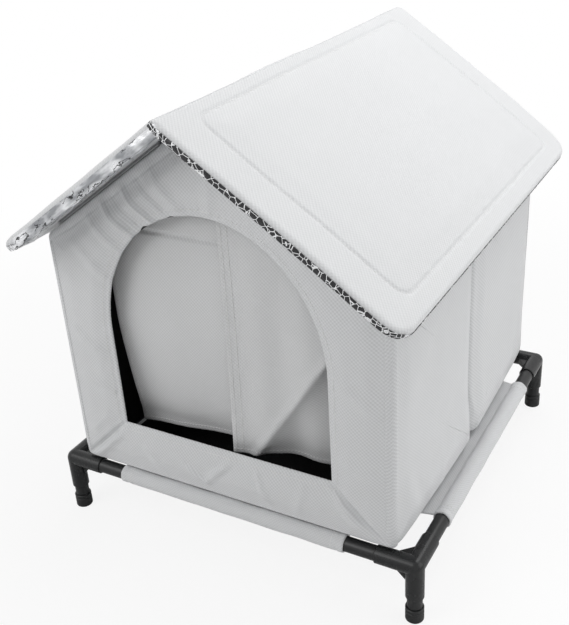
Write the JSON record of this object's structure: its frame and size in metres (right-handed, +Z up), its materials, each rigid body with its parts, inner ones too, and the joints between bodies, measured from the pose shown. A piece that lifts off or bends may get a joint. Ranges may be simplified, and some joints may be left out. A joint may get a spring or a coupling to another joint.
{
  "type": "cat shelter",
  "caption": "Raised cat shelter: padded fabric house with a gable roof, arched doorway and hanging flaps on a low tube cot frame.",
  "frame": {"origin": "on the ground, under the middle of the shelter's bounding box", "axes": "+X to the shelter's right seen from its door, +Y to the rear, +Z up; the doorway faces -Y"},
  "size_m": [0.5028, 0.592, 0.5715],
  "materials": {
    "cloth_light": "coated twill weave",
    "cloth_grey": "coated twill weave",
    "cloth_flap": "coated twill weave",
    "foam_white": "closed-cell foam sheet",
    "foil_silver": "crinkled metallised film",
    "hook_grey": "hook and loop tape",
    "liner_black": "matt felt",
    "connector_black": "moulded satin gloss",
    "cap_black": "moulded, fine grain",
    "tube_black": "powder-coated steel tube"
  },
  "bodies": {
    "base": {"corner_connector_front_left": "connector_black", "corner_connector_front_right": "connector_black", "corner_connector_rear_left": "connector_black", "corner_connector_rear_right": "connector_black", "leg_front_left": "tube_black", "leg_front_right": "tube_black", "leg_rear_left": "tube_black", "leg_rear_right": "tube_black", "foot_cap_front_left": "cap_black", "foot_cap_front_right": "cap_black", "foot_cap_rear_left": "cap_black", "foot_cap_rear_right": "cap_black", "rail_front": "tube_black", "rail_rear": "tube_black", "rail_left": "tube_black", "rail_right": "tube_black", "base_sheet": "cloth_light", "floor_liner": "liner_black", "rear_wall_cover": "cloth_grey", "rear_wall_foam": "foam_white", "rear_wall_loop_strips": "hook_grey"},
    "right_rear_half": {"right_wall_rear_cover": "cloth_grey", "right_wall_rear_foam": "foam_white"},
    "right_front_half": {"right_wall_front_cover": "cloth_grey", "right_wall_front_foam": "foam_white"},
    "left_rear_half": {"left_wall_rear_cover": "cloth_grey", "left_wall_rear_foam": "foam_white"},
    "left_front_half": {"left_wall_front_cover": "cloth_grey", "left_wall_front_foam": "foam_white"},
    "front_wall": {"front_wall_cover": "cloth_grey", "front_wall_foam": "foam_white", "front_wall_loop_strips": "hook_grey", "flap_header": "cloth_flap"},
    "door_flap_right": {"flap_right": "cloth_flap"},
    "door_flap_left": {"flap_left": "cloth_flap"},
    "roof_ridge": {"roof_ridge_strip": "cloth_light"},
    "roof_right": {"roof_right_cover": "cloth_light", "roof_right_foam": "foam_white", "roof_right_foil": "foil_silver", "roof_right_hook_strips": "hook_grey"},
    "roof_left": {"roof_left_cover": "cloth_light", "roof_left_foam": "foam_white", "roof_left_foil": "foil_silver", "roof_left_hook_strips": "hook_grey"}
  },
  "joints": [
    {"name": "wall_fold", "type": "hinge", "parent": "base", "child": "right_rear_half", "pos_m": [0.199, 0.22385, 0.24], "axis": [0, 0, -1], "range_deg": [0, 60]},
    {"name": "right_centre_fold", "type": "hinge", "parent": "right_rear_half", "child": "right_front_half", "pos_m": [0.217, 0, 0.24], "axis": [0, 0, 1], "range_deg": [0, 120]},
    {"name": "front_right_corner_fold", "type": "hinge", "parent": "right_front_half", "child": "front_wall", "pos_m": [0.199, -0.22385, 0.24], "axis": [0, 0, -1], "range_deg": [0, 60]},
    {"name": "rear_left_corner_fold", "type": "hinge", "parent": "base", "child": "left_rear_half", "pos_m": [-0.199, 0.22385, 0.24], "axis": [0, 0, 1], "range_deg": [0, 60]},
    {"name": "left_centre_fold", "type": "hinge", "parent": "left_rear_half", "child": "left_front_half", "pos_m": [-0.217, 0, 0.24], "axis": [0, 0, -1], "range_deg": [0, 120]},
    {"name": "flap_right_swing", "type": "hinge", "parent": "front_wall", "child": "door_flap_right", "pos_m": [0.08, -0.2225, 0.46], "axis": [-1, 0, 0], "range_deg": [-60, 0]},
    {"name": "flap_left_swing", "type": "hinge", "parent": "front_wall", "child": "door_flap_left", "pos_m": [-0.055, -0.2225, 0.46], "axis": [-1, 0, 0], "range_deg": [-60, 0]},
    {"name": "roof_lift", "type": "slide", "parent": "base", "child": "roof_ridge", "axis": [0, 0, 1], "range_m": [0, 0.25]},
    {"name": "roof_right_fold", "type": "hinge", "parent": "roof_ridge", "child": "roof_right", "pos_m": [0, 0, 0.5716], "axis": [0, 1, 0], "range_deg": [-105, 0]},
    {"name": "roof_left_fold", "type": "hinge", "parent": "roof_ridge", "child": "roof_left", "pos_m": [0, 0, 0.5716], "axis": [0, 1, 0], "range_deg": [0, 105]}
  ],
  "couplings": [
    {"joint": "right_centre_fold", "follows": "wall_fold", "ratio": 2},
    {"joint": "front_right_corner_fold", "follows": "wall_fold", "ratio": 1},
    {"joint": "rear_left_corner_fold", "follows": "wall_fold", "ratio": 1},
    {"joint": "left_centre_fold", "follows": "wall_fold", "ratio": 2},
    {"joint": "flap_left_swing", "follows": "flap_right_swing", "ratio": 1}
  ]
}
